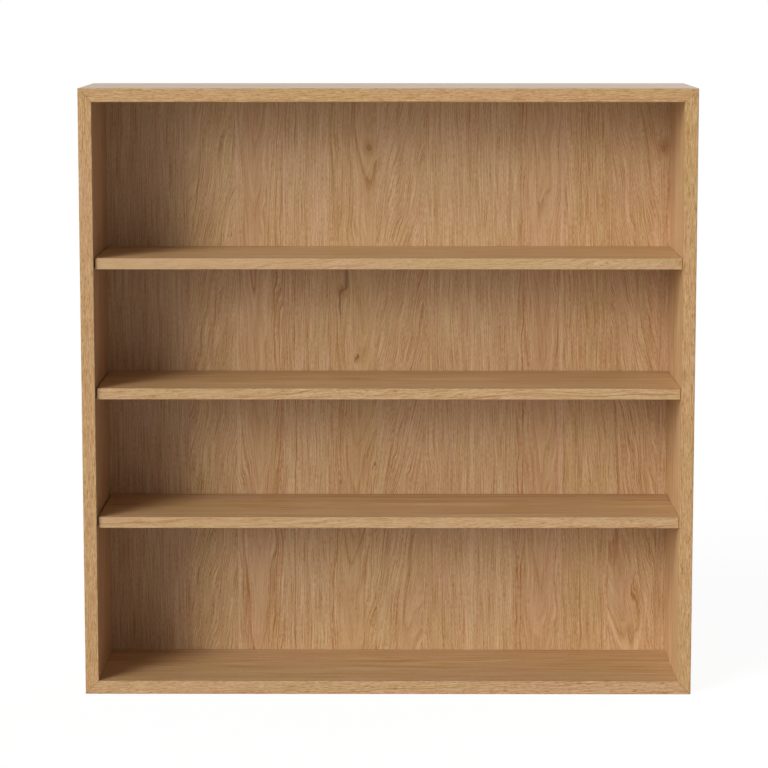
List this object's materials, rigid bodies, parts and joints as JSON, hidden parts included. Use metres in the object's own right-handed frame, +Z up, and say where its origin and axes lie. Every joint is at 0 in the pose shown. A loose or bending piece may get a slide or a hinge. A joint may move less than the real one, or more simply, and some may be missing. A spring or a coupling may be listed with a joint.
{
  "type": "wall shelving unit",
  "caption": "Square, open wall shelving unit of oak-veneered board: a mitred carcass with a back panel and loose shelves that rest on hidden wires and slide out forwards.",
  "frame": {"origin": "middle of the underside's bounding rectangle, on the surface that the unit stands on", "axes": "+X to the right seen from the front, +Y from the open front towards the wall, +Z up"},
  "size_m": [1.05, 0.27, 1.047],
  "materials": {
    "oak_veneer": "oak veneer with a thin matt lacquer",
    "oak_lipping": "solid oak with a thin matt lacquer",
    "birch_plywood": "raw birch plywood",
    "beech": "raw turned beech",
    "pine": "planed raw pine",
    "steel": "zinc-plated drawn wire"
  },
  "bodies": {
    "carcass": {"bottom_board": "oak_veneer", "bottom_lipping": "oak_lipping", "top_board": "oak_veneer", "top_lipping": "oak_lipping", "left_side_board": "oak_veneer", "left_side_lipping": "oak_lipping", "right_side_board": "oak_veneer", "right_side_lipping": "oak_lipping", "mitre_spline_bottom_left": "birch_plywood", "mitre_spline_bottom_right": "birch_plywood", "mitre_spline_top_left": "birch_plywood", "mitre_spline_top_right": "birch_plywood", "back_panel": "oak_veneer", "hanging_batten": "pine", "batten_dowel_left_upper": "beech", "batten_dowel_right_upper": "beech", "batten_dowel_left_lower": "beech", "batten_dowel_right_lower": "beech", "shelf_wire_lower_left": "steel", "shelf_wire_lower_right": "steel", "shelf_wire_middle_left": "steel", "shelf_wire_middle_right": "steel", "shelf_wire_upper_left": "steel", "shelf_wire_upper_right": "steel"},
    "shelf_lower": {"shelf_lower_board": "oak_veneer", "shelf_lower_lipping": "oak_lipping"},
    "shelf_middle": {"shelf_middle_board": "oak_veneer", "shelf_middle_lipping": "oak_lipping"},
    "shelf_upper": {"shelf_upper_board": "oak_veneer", "shelf_upper_lipping": "oak_lipping"}
  },
  "joints": [
    {"name": "shelf_lower_slide", "type": "slide", "parent": "carcass", "child": "shelf_lower", "axis": [0, -1, 0], "range_m": [0, 0.21]},
    {"name": "shelf_middle_slide", "type": "slide", "parent": "carcass", "child": "shelf_middle", "axis": [0, -1, 0], "range_m": [0, 0.21]},
    {"name": "shelf_upper_slide", "type": "slide", "parent": "carcass", "child": "shelf_upper", "axis": [0, -1, 0], "range_m": [0, 0.21]}
  ]
}
